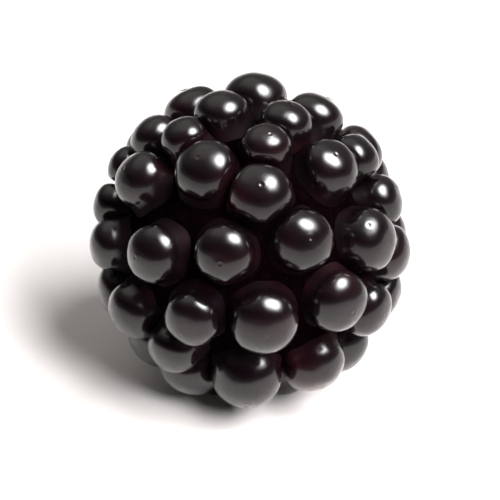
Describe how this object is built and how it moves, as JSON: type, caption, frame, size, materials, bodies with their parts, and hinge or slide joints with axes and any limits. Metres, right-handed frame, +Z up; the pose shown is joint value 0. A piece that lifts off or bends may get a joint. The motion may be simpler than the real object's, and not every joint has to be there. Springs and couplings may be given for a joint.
{
  "type": "bramble berry",
  "caption": "Ripe bramble berry, picked clean and lying on its side: domed glossy drupelets fused about a core, with the scar of the stem.",
  "frame": {"origin": "on the surface that the berry rests on, under the middle of its box", "axes": "+Z up, +Y from the apex towards the stem end, +X to the right of someone who faces the apex"},
  "size_m": [0.0229, 0.0236, 0.0225],
  "materials": {
    "drupelet_skin": "near-black wine skin, wet gloss",
    "receptacle_flesh": "pale green-cream pith, matt and fibrous",
    "withered_style": "dry brown hair, matt"
  },
  "bodies": {
    "root": {"berry": "drupelet_skin"}
  },
  "joints": []
}
